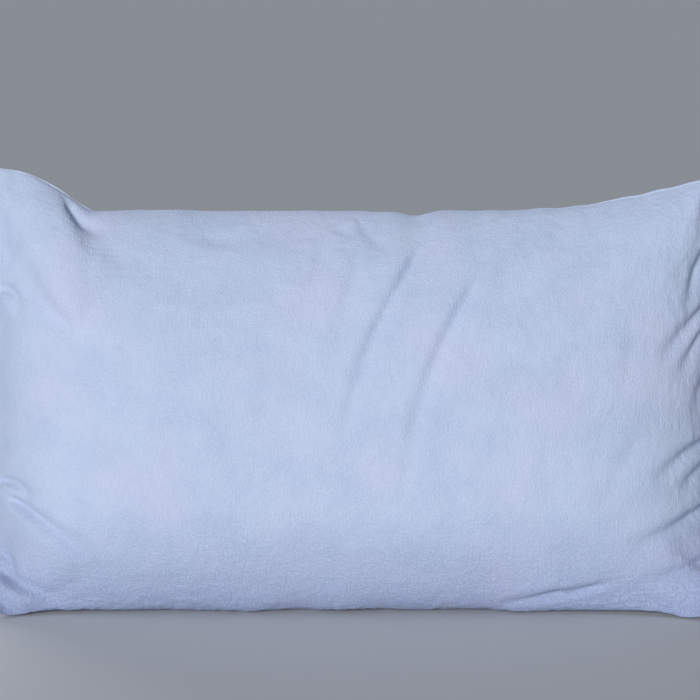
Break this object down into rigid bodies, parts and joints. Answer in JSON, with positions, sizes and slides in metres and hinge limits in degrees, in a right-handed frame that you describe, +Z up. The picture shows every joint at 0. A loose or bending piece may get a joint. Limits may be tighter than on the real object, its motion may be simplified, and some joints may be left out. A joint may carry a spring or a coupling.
{
  "type": "bed pillow",
  "caption": "Plump bed pillow in a short-pile fleece case, standing on its long edge; the inner pillow draws out of the open end past a turned-in envelope flap.",
  "frame": {"origin": "middle of the part's box, at the level of the surface that it stands on", "axes": "+X along the long edge towards the sewn end of the case, with the open end at -X; the front faces -Y, and the pillow leans back 10 degrees towards +Y; +Z up"},
  "size_m": [0.7234, 0.2018, 0.4364],
  "materials": {
    "fleece": "matte",
    "case_thread": "satin",
    "label": "satin",
    "ticking": "matte",
    "piping": "matte",
    "white_thread": "satin",
    "filling": "matte"
  },
  "bodies": {
    "pillowcase": {"case_front_panel": "fleece", "case_back_panel": "fleece", "case_mouth_hem": "fleece", "case_top_seam_thread": "case_thread", "case_bottom_seam_thread": "case_thread", "case_end_seam_thread": "case_thread", "case_hem_stitching": "case_thread", "case_care_label": "label"},
    "envelope_flap": {"flap_panel": "fleece", "flap_root_seam": "case_thread", "flap_edge_stitching": "case_thread"},
    "inner_pillow": {"ticking_front": "ticking", "ticking_back": "ticking", "ticking_piping": "piping", "ticking_seam_thread": "white_thread", "fill_front_ply": "filling", "fill_middle_ply": "filling", "fill_back_ply": "filling", "pillow_label": "label"}
  },
  "joints": [
    {"name": "pillow_slide", "type": "slide", "parent": "pillowcase", "child": "inner_pillow", "axis": [-1, 0, 0], "range_m": [0, 0.95], "deforming": ["case_front_panel", "case_back_panel", "case_mouth_hem", "case_hem_stitching", "case_top_seam_thread", "case_bottom_seam_thread", "case_end_seam_thread", "case_care_label", "flap_root_seam"]},
    {"name": "flap_turn", "type": "hinge", "parent": "pillowcase", "child": "envelope_flap", "pos_m": [-0.3611, 0.01107, 0.21687], "axis": [0, 0.1736, 0.9848], "range_deg": [0, 155], "deforming": ["flap_panel", "flap_edge_stitching"]}
  ]
}
